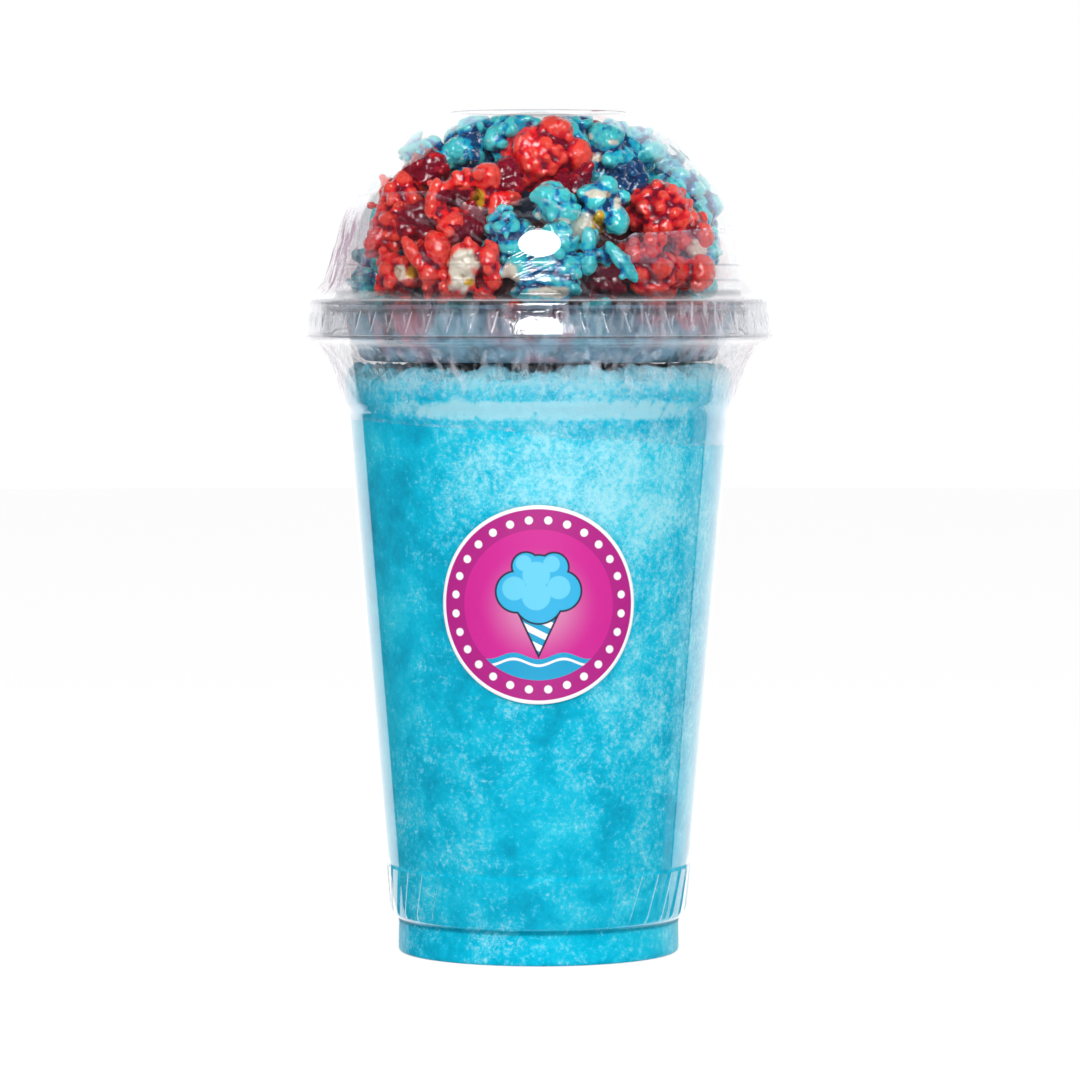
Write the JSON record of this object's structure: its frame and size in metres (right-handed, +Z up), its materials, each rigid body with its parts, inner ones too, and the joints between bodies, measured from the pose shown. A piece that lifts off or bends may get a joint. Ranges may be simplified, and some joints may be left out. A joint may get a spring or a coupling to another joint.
{
  "type": "cup of cotton candy with popcorn",
  "caption": "Clear takeaway cup packed with blue cotton candy, with candied popcorn under its clear dome lid, a shrunk film band and a round sticker.",
  "frame": {"origin": "centre of the foot, on the surface the cup stands on", "axes": "+Z up along the cup's axis, -Y towards the sticker, +X to the right as seen from the sticker side"},
  "size_m": [0.1022, 0.1022, 0.1822],
  "materials": {
    "cup": "clear, thin moulded sheet",
    "dome_lid": "clear, thin moulded sheet",
    "tray": "clear, thin moulded sheet",
    "film_band": "clear shrink film with fine creases",
    "cotton_candy": "soft spun sugar, pale fibres over deeper blue",
    "popcorn": "glossy candy coat, red and blue pieces",
    "sticker": "printed gloss paper"
  },
  "bodies": {
    "root": {"cup": "cup", "dome_lid": "dome_lid", "tray": "tray", "film_band": "film_band", "cotton_candy": "cotton_candy", "popcorn": "popcorn", "sticker": "sticker"}
  },
  "joints": []
}
